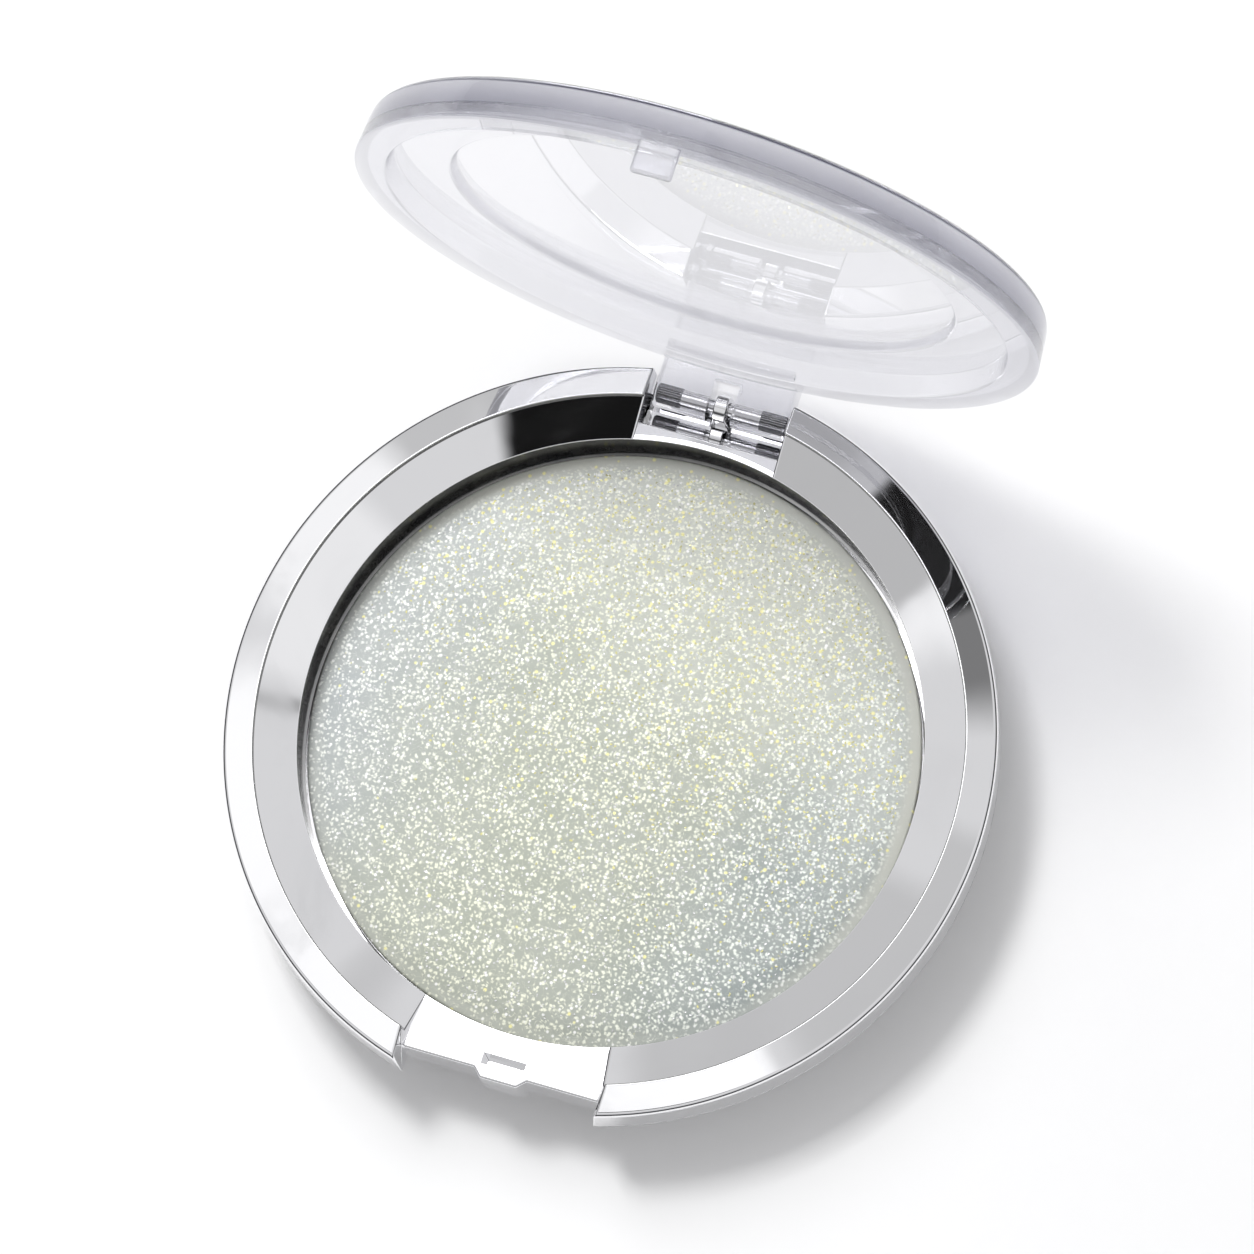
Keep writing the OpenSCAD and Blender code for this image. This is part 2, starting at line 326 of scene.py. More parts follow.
def ring_sector(name, outline, hinge_plane, notch_plane, rounding, columns=220):
    """An outline of (radius, height) swept on the +X side from the hinge to the notch. hinge_plane and
    notch_plane give x for a point of the outline, and both ends are rounded above the underside."""
    if area(outline) < 0:
        outline = outline[::-1]
    ends = end_steps(rounding)
    rings = []

    def square(r, z):
        return z < UNDERSIDE_Z or r < LIP_R + 0.3

    def column(points, plane, along, sign):
        ring = []
        for (r, z), (fr, fz) in zip(points, outline):
            x = plane(fr, fz) + along
            ring.append((x, sign * sqrt(max(r * r - x * x, 0.0)), z))
        return ring

    for along, depth in ends:
        rings.append(column(shrunk(outline, depth, square), hinge_plane, along, 1))
    inner = ends[-1][0]
    for i in range(1, columns):
        ring = []
        for r, z in outline:
            start = acos((hinge_plane(r, z) + inner) / r)
            end = -acos((notch_plane(r, z) + inner) / r)
            t = start + (end - start) * i / columns
            ring.append((r * cos(t), r * sin(t), z))
        rings.append(ring)
    for along, depth in reversed(ends):
        rings.append(column(shrunk(outline, depth, square), notch_plane, along, -1))
    return face_out(loft(name, rings))


def mirrored(obj, name):
    """A copy of the object on the other side of the YZ plane."""
    copy = added(name, obj.data.copy())
    copy.data.transform(Matrix.Scale(-1, 4, (1, 0, 0)))
    return face_out(copy)


def settle(obj):
    """Turns an object's modifiers into plain mesh."""
    evaluated = obj.evaluated_get(bpy.context.evaluated_depsgraph_get())
    mesh = bpy.data.meshes.new_from_object(evaluated)
    obj.modifiers.clear()
    old = obj.data
    obj.data = mesh
    bpy.data.meshes.remove(old)
    mesh.name = obj.name
    return obj


def combine(obj, other, how):
    """Adds, cuts or keeps the shared part of two closed solids. The second one is used up."""
    modifier = obj.modifiers.new("combine", "BOOLEAN")
    modifier.operation = how
    modifier.solver = "EXACT"
    modifier.object = other
    bpy.context.view_layer.update()
    settle(obj)
    bpy.data.objects.remove(other)
    return obj


def shade(obj, angle=SHARP):
    """Smooth shading, with every edge sharper than the angle kept crisp."""
    obj.data.shade_smooth()
    obj.data.set_sharp_from_angle(angle=angle)
    return obj


# ---- shader building
def link(tree, a, b):
    """Links one socket to another."""
    tree.links.new(a, b)


def feed(tree, item, socket):
    """Links an output to a socket, or sets the socket to a number or a colour."""
    if isinstance(item, bpy.types.NodeSocket):
        link(tree, item, socket)
    else:
        socket.default_value = (*item, 1.0) if isinstance(item, tuple) else item


def math_node(tree, operation, *items):
    """A Math node fed with links or numbers."""
    node = tree.nodes.new("ShaderNodeMath")
    node.operation = operation
    for socket, item in zip(node.inputs, items):
        feed(tree, item, socket)
    return node.outputs[0]


def times(tree, a, b):
    """The product of two values."""
    return math_node(tree, "MULTIPLY", a, b)


def plus(tree, a, b):
    """The sum of two values."""
    return math_node(tree, "ADD", a, b)


def ramp(tree, item, low, high, out_low=0.0, out_high=1.0, smooth=True):
    """A Map Range node."""
    node = tree.nodes.new("ShaderNodeMapRange")
    node.interpolation_type = "SMOOTHSTEP" if smooth else "LINEAR"
    labels = ("Value", "From Min", "From Max", "To Min", "To Max")
    for label, value in zip(labels, (item, low, high, out_low, out_high)):
        feed(tree, value, node.inputs[label])
    return node.outputs["Result"]


def blend_colors(tree, factor, a, b):
    """A Mix node for colours fed with links or colours."""
    node = tree.nodes.new("ShaderNodeMix")
    node.data_type = "RGBA"
    feed(tree, factor, node.inputs["Factor"])
    feed(tree, a, node.inputs[6])
    feed(tree, b, node.inputs[7])
    return node.outputs[2]


def object_point(tree):
    """Object coordinates."""
    return tree.nodes.new("ShaderNodeTexCoord").outputs["Object"]


def noise(tree, point, scale, detail=2.0, rough=0.5, distortion=0.0, output="Fac"):
    """A Noise texture's value, or its colour: three values at once, to bend another texture with."""
    node = tree.nodes.new("ShaderNodeTexNoise")
    labels = ("Vector", "Scale", "Detail", "Roughness", "Distortion")
    for label, value in zip(labels, (point, scale, detail, rough, distortion)):
        feed(tree, value, node.inputs[label])
    return node.outputs[output]


def new_tree(kind, name, inputs, outputs):
    """An empty node tree with named sockets, each given by its default number or by its type:
    (tree, inputs, outputs)."""
    tree = bpy.data.node_groups.new(name, kind)
    for direction, sockets in (("INPUT", inputs), ("OUTPUT", outputs)):
        for label, value in sockets:
            number = "NodeSocketInt" if isinstance(value, int) else "NodeSocketFloat"
            typed = isinstance(value, str)
            socket = tree.interface.new_socket(
                label, in_out=direction, socket_type=value if typed else number)
            if not typed:
                socket.default_value = value
    return tree, tree.nodes.new("NodeGroupInput").outputs, tree.nodes.new("NodeGroupOutput").inputs


def handling_marks():
    """Faint smears and dust from being handled: 0 where clean, 1 where worst."""
    tree, given, out = new_tree(
        "ShaderNodeTree", "handling_marks",
        [("Smear Scale", 90.0), ("Dust Scale", 2500.0), ("Dust Share", 0.2)], [("Mask", 0.0)])
    point = object_point(tree)
    smear = ramp(tree, noise(tree, point, given["Smear Scale"], 4.0, 0.6, 0.8), 0.45, 0.8)
    dust = ramp(tree, noise(tree, point, given["Dust Scale"], 1.0), 0.68, 0.78)
    dust = times(tree, dust, given["Dust Share"])
    link(tree, math_node(tree, "MAXIMUM", smear, dust), out["Mask"])
    return tree


def moulded_waviness():
    """The slight sink and flow of a moulded surface, as a height."""
    tree, given, out = new_tree("ShaderNodeTree", "moulded_waviness", [("Scale", 120.0)], [("Height", 0.0)])
    link(tree, noise(tree, object_point(tree), given["Scale"], 2.0, 0.4), out["Height"])
    return tree


def speckle():
    """Scattered round specks, each with a share of full strength."""
    tree, given, out = new_tree(
        "ShaderNodeTree", "speckle", [("Scale", 1500.0), ("Share", 0.3), ("Size", 0.35)],
        [("Mask", 0.0), ("Chance", 0.0)])
    cells = tree.nodes.new("ShaderNodeTexVoronoi")
    link(tree, object_point(tree), cells.inputs["Vector"])
    link(tree, given["Scale"], cells.inputs["Scale"])
    dice = tree.nodes.new("ShaderNodeSeparateColor")
    link(tree, cells.outputs["Color"], dice.inputs["Color"])
    chosen = math_node(tree, "LESS_THAN", dice.outputs["Red"], given["Share"])
    inner = times(tree, given["Size"], 0.5)
    near = ramp(tree, cells.outputs["Distance"], inner, given["Size"], 1.0, 0.0)
    link(tree, times(tree, chosen, near), out["Mask"])
    link(tree, dice.outputs["Green"], out["Chance"])
    return tree


HANDLING = handling_marks()
WAVINESS = moulded_waviness()
SPECKLE = speckle()


def use_group(tree, group, **settings):
    """A group node with its inputs set; underscores in the names stand for spaces."""
    node = tree.nodes.new("ShaderNodeGroup")
    node.node_tree = group
    for name, value in settings.items():
        node.inputs[name.replace("_", " ")].default_value = value
    return node.outputs


def finish_of(name, color=(0.8, 0.8, 0.8), metallic=0.0, roughness=0.3, **settings):
    """A material with a Principled shader: (material, tree, shader)."""
    material = bpy.data.materials.new(name)
    material.use_nodes = True
    tree = material.node_tree
    shader = tree.nodes["Principled BSDF"]
    shader.inputs["Base Color"].default_value = (*color, 1.0)
    shader.inputs["Metallic"].default_value = metallic
    shader.inputs["Roughness"].default_value = roughness
    for label, value in settings.items():
        shader.inputs[label.replace("_", " ")].default_value = value
    return material, tree, shader


def bump(tree, shader, height, strength, distance):
    """A Bump node in front of the shader's normal."""
    node = tree.nodes.new("ShaderNodeBump")
    node.inputs["Strength"].default_value = strength
    node.inputs["Distance"].default_value = distance
    link(tree, height, node.inputs["Height"])
    link(tree, node.outputs["Normal"], shader.inputs["Normal"])


def paint(tree, shader, factor, a, b):
    """A base colour between a and b."""
    link(tree, blend_colors(tree, factor, a, b), shader.inputs["Base Color"])


def polish(tree, shader, item, low, high, smoothest, roughest):
    """Roughness that follows a value."""
    link(tree, ramp(tree, item, low, high, smoothest, roughest, False), shader.inputs["Roughness"])


# ---- finishes
def chrome():
    """Vacuum-metallised plastic: a clean mirror with faint smears and a trace of moulding flow."""
    material, tree, shader = finish_of("mirror_chrome", (0.93, 0.93, 0.94), 1.0, 0.03)
    marks = use_group(tree, HANDLING, Smear_Scale=70.0, Dust_Scale=2600.0, Dust_Share=0.12)["Mask"]
    polish(tree, shader, marks, 0.0, 1.0, 0.025, 0.10)
    paint(tree, shader, marks, (0.94, 0.94, 0.95), (0.90, 0.90, 0.91))
    bump(tree, shader, use_group(tree, WAVINESS, Scale=110.0)["Height"], 0.05, 0.0003)
    return material


def shaded_chrome():
    """Chrome that faces the depth of the compact, painted near black: painted shade on the step wall and the
    well wall, with a painted reflection of the shaded gel, not the room.
    """
    material, tree, shader = finish_of("shaded_chrome", (0.10, 0.10, 0.10), 0.8, 0.18)
    # a mottle of painted reflection, near black and dark olive, like the shaded gel seen in the well wall
    painted_reflection_mottle = ramp(tree, noise(tree, object_point(tree), 320.0, 3.0, 0.6, 0.6), 0.35, 0.7)
    paint(tree, shader, painted_reflection_mottle, (0.035, 0.035, 0.037), (0.13, 0.13, 0.115))
    return material


def clear_plastic():
    """Thick clear acrylic that greys with depth, and painted shade on its edges seen at a glance. Light
    passes it, and the chrome sees it only faintly."""
    material, tree, shader = finish_of(
        "clear_acrylic", (0.98, 0.98, 0.99), 0.0, 0.0, IOR=1.49, Transmission_Weight=1.0)
    marks = use_group(tree, HANDLING, Smear_Scale=60.0, Dust_Scale=3000.0, Dust_Share=0.3)["Mask"]
    polish(tree, shader, marks, 0.0, 1.0, 0.0, 0.03)
    body = blend_colors(tree, marks, (0.98, 0.98, 0.99), (0.96, 0.96, 0.97))
    # painted shade: edges seen at a glance are painted dark grey in the base colour
    glance = tree.nodes.new("ShaderNodeLayerWeight")
    glance.inputs["Blend"].default_value = 0.5
    edge = ramp(tree, glance.outputs["Facing"], 0.80, 0.99)
    paint(tree, shader, edge, body, (0.42, 0.42, 0.46))
    bump(tree, shader, use_group(tree, WAVINESS, Scale=60.0)["Height"], 0.03, 0.0003)
    path = tree.nodes.new("ShaderNodeLightPath")
    through = tree.nodes.new("ShaderNodeBsdfTransparent")
    shadow = path.outputs["Is Shadow Ray"]
    passed = blend_colors(tree, shadow, (0.95, 0.95, 0.96), (0.60, 0.60, 0.62))
    link(tree, passed, through.inputs["Color"])
    first = math_node(tree, "LESS_THAN", path.outputs["Ray Depth"], 1.5)
    mirrored_ray = times(tree, path.outputs["Is Glossy Ray"], first)
    mirrored_ray = times(tree, mirrored_ray, 0.85)
    mix = tree.nodes.new("ShaderNodeMixShader")
    link(tree, math_node(tree, "MAXIMUM", shadow, mirrored_ray), mix.inputs["Fac"])
    link(tree, shader.outputs["BSDF"], mix.inputs[1])
    link(tree, through.outputs["BSDF"], mix.inputs[2])
    link(tree, mix.outputs["Shader"], tree.nodes["Material Output"].inputs["Surface"])
    depth = tree.nodes.new("ShaderNodeVolumeAbsorption")
    depth.inputs["Color"].default_value = (0.43, 0.43, 0.51, 1.0)
    depth.inputs["Density"].default_value = 62.0
    link(tree, depth.outputs["Volume"], tree.nodes["Material Output"].inputs["Volume"])
    return material


def pearl_gel():
    """Pale green-grey gel packed with pearl: grains and short ridges, white and yellow specks, and
    tints that drift across it, with painted shade on its right side and painted light toward the hinge."""
    material, tree, shader = finish_of("pearl_gel", (0.75, 0.77, 0.72), 0.0, 0.38, Coat_Weight=0.25,
                                       Coat_Roughness=0.2, Subsurface_Weight=0.0)
    point = object_point(tree)
    axes = tree.nodes.new("ShaderNodeSeparateXYZ")
    link(tree, point, axes.inputs["Vector"])
    drift = noise(tree, point, 55.0, 3.0, 0.5, 0.4)
    # a warm band runs across the middle, and the left and the front right are cooler; the front right is also
    # darker, painted shade on the side away from the light
    across_band = plus(tree, times(tree, axes.outputs["X"], 0.86), times(tree, axes.outputs["Y"], -0.25))
    across_band = plus(tree, across_band, times(tree, drift, 0.012))
    cool_and_shaded_right = ramp(tree, across_band, 0.012, 0.030)
    cool_left = ramp(tree, across_band, 0.000, -0.022)
    deep = blend_colors(tree, cool_and_shaded_right, (0.405, 0.430, 0.365), (0.335, 0.372, 0.365))
    deep = blend_colors(tree, cool_left, deep, (0.420, 0.448, 0.455))
    pale = blend_colors(tree, cool_and_shaded_right, (0.90, 0.91, 0.74), (0.90, 0.94, 0.88))
    pale = blend_colors(tree, cool_left, pale, (0.86, 0.88, 0.85))
    patches = ramp(tree, noise(tree, point, 140.0, 3.0, 0.6, 1.0), 0.35, 0.65)
    deep = blend_colors(tree, times(tree, patches, 0.3), deep, (0.50, 0.52, 0.48))
    bend = noise(tree, point, 900.0, 1.0, output="Color")
    bent = tree.nodes.new("ShaderNodeVectorMath")
    bent.operation = "MULTIPLY_ADD"
    link(tree, bend, bent.inputs[0])
    bent.inputs[1].default_value = (0.0005, 0.0005, 0.0)
    link(tree, point, bent.inputs[2])
    grains = tree.nodes.new("ShaderNodeTexVoronoi")
    grains.inputs["Scale"].default_value = 2250.0
    grains.inputs["Randomness"].default_value = 0.75
    link(tree, bent.outputs[0], grains.inputs["Vector"])
    grain = ramp(tree, grains.outputs["Distance"], 0.12, 0.62, 1.0, 0.0)
    ridge = noise(tree, point, 1300.0, 1.0, 0.5, 0.9)
    ridge = math_node(tree, "ABSOLUTE", math_node(tree, "SUBTRACT", ridge, 0.5))
    ridge = ramp(tree, ridge, 0.0, 0.10, 1.0, 0.0)
    grain = times(tree, grain, 0.62)
    worms = plus(tree, grain, times(tree, ridge, 0.38))
    worms = ramp(tree, worms, 0.22, 0.86)
    textured = blend_colors(tree, worms, deep, pale)
    x_squared = math_node(tree, "POWER", axes.outputs["X"], 2.0)
    y_squared = math_node(tree, "POWER", axes.outputs["Y"], 2.0)
    radius = math_node(tree, "SQRT", plus(tree, x_squared, y_squared))
    toward_hinge = plus(tree, times(tree, axes.outputs["Y"], 0.9), times(tree, axes.outputs["X"], 0.45))
    # painted light: the gel is painted paler toward the hinge, a pool of light in its colour
    painted_light_toward_hinge = times(tree, ramp(tree, toward_hinge, -0.002, 0.022), 0.32)
    textured = blend_colors(tree, painted_light_toward_hinge, textured, (0.90, 0.91, 0.82))
    rim = ramp(tree, radius, 0.0282, 0.0296)
    rim = times(tree, rim, ramp(tree, toward_hinge, -0.016, 0.016, 0.25))
    textured = blend_colors(tree, rim, textured, (0.60, 0.61, 0.55))
    open_share = math_node(tree, "SUBTRACT", 1.0, rim)
    white = use_group(tree, SPECKLE, Scale=2000.0, Share=0.26, Size=0.40)["Mask"]
    textured = blend_colors(tree, times(tree, white, open_share), textured, (1.0, 1.0, 0.97))
    gold_cells = use_group(tree, SPECKLE, Scale=1500.0, Share=0.34, Size=0.36)
    gold_share = ramp(tree, toward_hinge, -0.016, 0.026, 0.06, 0.85)
    lit = math_node(tree, "LESS_THAN", gold_cells["Chance"], gold_share)
    gold = times(tree, gold_cells["Mask"], lit)
    textured = blend_colors(tree, times(tree, gold, 0.9), textured, (0.94, 0.89, 0.42))
    link(tree, textured, shader.inputs["Base Color"])
    polish(tree, shader, worms, 0.0, 1.0, 0.45, 0.28)
    bump(tree, shader, times(tree, worms, open_share), 0.30, 0.00006)
    return material


def flake(name, color, roughness):
    """A mirror-like flake of pearl pigment."""
    material, tree, shader = finish_of(name, color, 0.5, roughness)
    shift = noise(tree, object_point(tree), 900.0, 1.0)
    paler = tuple(min(1.0, c * 1.15) for c in color)
    paint(tree, shader, shift, color, paler)
    return material


def pin_steel(name, bright, dull):
    """Steel wire, finely drawn along its length."""
    material, tree, shader = finish_of(name, bright, 1.0, 0.2)
    point = object_point(tree)
    squeeze = tree.nodes.new("ShaderNodeMapping")
    squeeze.inputs["Scale"].default_value = (0.05, 1.0, 1.0)
    link(tree, point, squeeze.inputs["Vector"])
    lines = noise(tree, squeeze.outputs["Vector"], 9000.0, 2.0)
    polish(tree, shader, lines, 0.3, 0.7, 0.12, 0.30)
    paint(tree, shader, lines, bright, dull)
    return material


def pan_metal():
    """Drawn aluminium with fine turning lines."""
    material, tree, shader = finish_of("pan_aluminium", (0.80, 0.80, 0.80), 1.0, 0.3)
    waves = tree.nodes.new("ShaderNodeTexWave")
    waves.wave_type = "RINGS"
    waves.rings_direction = "Z"
    waves.inputs["Scale"].default_value = 1400.0
    waves.inputs["Distortion"].default_value = 1.0
    link(tree, object_point(tree), waves.inputs["Vector"])
    polish(tree, shader, waves.outputs["Fac"], 0.0, 1.0, 0.22, 0.36)
    paint(tree, shader, waves.outputs["Fac"], (0.82, 0.82, 0.83), (0.74, 0.74, 0.75))
    return material


def paper():
    """Smooth white label paper with a trace of fibre."""
    material, tree, shader = finish_of("label_paper", (0.88, 0.88, 0.86), 0.0, 0.6)
    fibre = noise(tree, object_point(tree), 1800.0, 4.0, 0.65, 1.2)
    paint(tree, shader, fibre, (0.90, 0.90, 0.88), (0.83, 0.83, 0.81))
    bump(tree, shader, fibre, 0.15, 0.00004)
    return material


def adhesive():
    """Milky pressure-sensitive adhesive."""
    material, tree, shader = finish_of("milky_adhesive", (0.85, 0.83, 0.74), 0.0, 0.45)
    cloud = noise(tree, object_point(tree), 300.0, 3.0, 0.6)
    paint(tree, shader, cloud, (0.88, 0.86, 0.78), (0.80, 0.78, 0.68))
    return material


CHROME = chrome()
SHADED = shaded_chrome()
CLEAR = clear_plastic()
GEL = pearl_gel()
PEARL_FLAKE = flake("pearl_flake", (0.95, 0.96, 0.95), 0.18)
GOLD_FLAKE = flake("gold_flake", (0.93, 0.86, 0.42), 0.22)
STEEL = pin_steel("drawn_steel", (0.75, 0.75, 0.76), (0.58, 0.58, 0.60))
# the knurled ends are painted far darker than the drawn steel: painted shade of the knurling
KNURL = pin_steel("knurled_steel", (0.16, 0.16, 0.17), (0.07, 0.07, 0.08))


def dress(obj, material):
    """Gives an object one material."""
    obj.data.materials.clear()
    obj.data.materials.append(material)
    return obj


def join(name, *objects):
    """Joins objects into one piece."""
    select_only(*objects)
    bpy.ops.object.join()
    objects[0].name = name
    objects[0].data.name = name
    objects[0].select_set(False)
    return objects[0]


# ---- the bright top frame
def slope_z(r):
    """Height of the seat at a radius."""
    return LIP_Z + SEAT_RISE * (r - LIP_R) / SEAT_W


def cone_z(r):
    """Height of the underside's cone at a radius."""
    return (r - FOOT_R) * CONE_SLOPE


def seat_and_band():
    """The seat, the step and the outer band, on both sides of the hinge and the notch."""
    spigot_in = BASE_R - SIDE_WALL - 1.6
    seat_in = LIP_R + SEAT_GAP
    outline = rounded([
        (seat_in, 5.0, 0), (LIP_R + 1.85, 5.0, 0), (spigot_in, 6.45, 0), (spigot_in, SPIGOT_TOP_Z, 0),
        (BASE_R - SIDE_WALL, SPIGOT_TOP_Z, 0), (BASE_R - SIDE_WALL, EQUATOR_Z, 0), (BASE_R, EQUATOR_Z, 0.14),
        (BASE_R, EDGE_Z, 0.5), (STEP_R, BASE_H, 0.14), (STEP_R, SEAT_Z, 0), (seat_in, slope_z(seat_in), 0)])

    def notch_plane(r, z):
        flare = (NOTCH_OUT_W - NOTCH_W) / 2 * (r - LIP_R) / (BASE_R - LIP_R)
        return NOTCH_W / 2 + flare + max(0.0, z - LIP_Z) * NOTCH_LEAN

    right = ring_sector("band_right", outline, lambda *point: RECESS_W / 2, notch_plane, END_ROUND)
    return [right, mirrored(right, "band_left")]


def lip_ring():
    """The wall of the well with its rounded lip."""
    return lathe("lip", rounded([
        (LIP_R, LEDGE_Z, 0), (LIP_R + WELL_WALL, LEDGE_Z, 0), (LIP_R + WELL_WALL, LIP_Z - LIP_STEP, 0),
        (LIP_R + LIP_W, LIP_Z - LIP_STEP, 0), (LIP_R + LIP_W, LIP_Z, 0), (LIP_R, LIP_Z, 0.06)]))


def bridge():
    """The floor of the finger notch with the catch and the slot for the lid's tab."""
    half = NOTCH_OUT_W / 2 + 0.25
    front = []
    inner_r = LIP_R + LIP_W
    for i in range(25):
        x = -half + 2 * half * i / 24
        front.append((x, -sqrt(inner_r ** 2 - x * x), 0))
    corner = CATCH_W / 2 - CATCH_OUT
    edge = [(half, -NOTCH_Y, 0.3), (CATCH_W / 2, -NOTCH_Y, 0.25), (corner, -NOTCH_Y - CATCH_OUT, 0.25),
            (-corner, -NOTCH_Y - CATCH_OUT, 0.25), (-CATCH_W / 2, -NOTCH_Y, 0.25), (-half, -NOTCH_Y, 0.3)]
    floor_piece = prism("bridge", rounded(front + edge), 5.2, LIP_Z, upright, 0.0, 0.2,
                        lambda x, y: hypot(x, y) < inner_r + 0.1)
    wide, near, far = TAB_W / 2 + TAB_GAP, -TAB_Y + TAB_GAP, -TAB_Y - TAB_T - TAB_GAP
    slot = rounded([(-wide, near, 0.1), (-wide, far, 0.1), (wide, far, 0.1), (wide, near, 0.1)])
    return combine(floor_piece, prism("slot", slot, CATCH_SLOT_Z, LIP_Z + 1, upright), "DIFFERENCE")


def swept_across(name, section, x0, x1, steps=24):
    """A YZ section that may change with x, swept from x0 to x1."""
    rings = []
    for i in range(steps + 1):
        x = x0 + (x1 - x0) * i / steps
        rings.append([(x, y, z) for y, z in section(x)])
    return face_out(loft(name, rings))


def rod(name, radius, half_length):
    """A round rod along the hinge's axis."""
    circle = arc(PIN_Y, PIN_Z, radius, 0, 360, 64)[:-1]
    return prism(name, circle, -half_length, half_length, across)


def hinge_housing():
    """The slope behind the lip, the floor of the hinge's recess and the walls beside it."""
    def slope(x):
        near = sqrt((LIP_R + 0.45) ** 2 - x * x)
        return rounded([(near, 5.25, 0), (RECESS_Y, 5.25, 0), (RECESS_Y, LIP_Z - 2.2, 0.2),
                        (LIP_R + 1.0, LIP_Z - 0.05, 0.3), (near + 0.08, LIP_Z + 0.01, 0),
                        (near, LIP_Z - 0.1, 0)])

    def cone_edge(x, r0, r1, steps=8):
        points = []
        for i in range(steps + 1):
            r = r0 + (r1 - r0) * i / steps
            points.append((sqrt(r * r - x * x), cone_z(r)))
        return points

    def floor_section(x):
        floor_r = FOOT_R + RECESS_FLOOR_Z / CONE_SLOPE
        under = cone_edge(x, PAD_R, floor_r)
        return under + [(RECESS_Y - 0.3, RECESS_FLOOR_Z)]

    def wall_section(x):
        under = cone_edge(x, PAD_R, BASE_R - 0.02)
        wall_y = sqrt((BASE_R - SIDE_WALL - 0.02) ** 2 - x * x)
        return under + [(wall_y, EQUATOR_Z), (wall_y, 7.8), (under[0][0], 7.8)]

    half = RECESS_W / 2
    return [
        swept_across("slope", slope, -half - 0.02, half + 0.02),
        swept_across("recess_floor", floor_section, -half - 0.02, half + 0.02),
        swept_across("wall_right", wall_section, half, half + PAD_T, 4),
        swept_across("wall_left", wall_section, -half - PAD_T, -half, 4)]


def tongue():
    """The tongue in the middle of the hinge: narrow at the pin, flared to its foot, bored for the pin."""
    top_r = KNUCKLE_R - 0.2
    crown = [(y, z, 0) for y, z in arc(PIN_Y, PIN_Z, top_r, 0, 180, 15)]
    front = [(PIN_Y - top_r - 0.25 * (t / 8) ** 2, PIN_Z - (PIN_Z - RECESS_FLOOR_Z + 0.1) * t / 8, 0)
             for t in range(1, 9)]
    outline = rounded(crown + front + [(PIN_Y + KNUCKLE_R - 0.35, RECESS_FLOOR_Z - 0.1, 0)])
    body = prism("tongue", outline, -TONGUE_W / 2, TONGUE_W / 2, across, 0.22, 0.22)
    for vertex in body.data.vertices:
        above = (vertex.co.z / MM - RECESS_FLOOR_Z) / (PIN_Z - RECESS_FLOOR_Z)
        foot = max(0.0, 1.0 - above / 0.95) ** 1.6
        vertex.co.x *= 0.68 + 0.47 * foot
    return combine(body, rod("bore", BORE_R, TONGUE_W), "DIFFERENCE")


def make_frame():
    """The bright moulding on top of the base."""
    parts = seat_and_band() + [lip_ring(), bridge()] + hinge_housing() + [tongue()]
    for part in parts:
        shade(part)
    piece = join("bright_frame", *parts)
    dress(piece, CHROME)
    # the step wall and the well wall take the near-black chrome: painted shade and painted reflection
    piece.data.materials.append(SHADED)
    for face in piece.data.polygons:
        r, z = hypot(face.center.x, face.center.y) / MM, face.center.z / MM
        step_wall = abs(r - STEP_R) < 0.03 and SEAT_Z + 0.02 < z < BASE_H - 0.12
        well_wall = r < LIP_R + 0.02 and z < LIP_Z - 0.05
        if (step_wall or well_wall) and abs(face.normal.z) < 0.5:
            face.material_index = 1
    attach(piece, "base")
    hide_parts("top_frame")
    return piece


# ---- the clear lid
def opened(obj):
    """Turns a piece drawn with the lid shut into its place on the open lid."""
    pin = Vector((0, PIN_Y * MM, PIN_Z * MM))
    turn = Matrix.Translation(pin) @ Matrix.Rotation(-LID_OPEN, 4, "X") @ Matrix.Translation(-pin)
    obj.data.transform(turn)
    return obj


def lid_outline():
    """The lid's section, from the middle of its top to the middle of its window's underside."""
    edge_top = RIM_Z + LID_H - LID_CROWN
    top = []
    flat_r = LID_R - 0.35 - SHOULDER_R
    for i in range(13):
        r = flat_r * i / 12
        top.append((r, edge_top + LID_CROWN * (1 - (r / flat_r) ** 2)))
    shoulder = arc(flat_r, edge_top - SHOULDER_R, SHOULDER_R, 88, 4, 10)
    rim = rounded([(LID_R - 0.28, edge_top - 1.3, 0), (LID_R, RIM_Z, 0.35), (HOLLOW_R, RIM_Z, 0.35),
                   (HOLLOW_R - 0.2, SHELF_Z, 0.25), (WINDOW_R + 0.15, SHELF_Z, 0.3),
                   (WINDOW_R - 0.1, WINDOW_Z, 0.2), (12.0, WINDOW_Z, 0)], 6)
    return top + shoulder + rim + [(0.0, WINDOW_Z)]


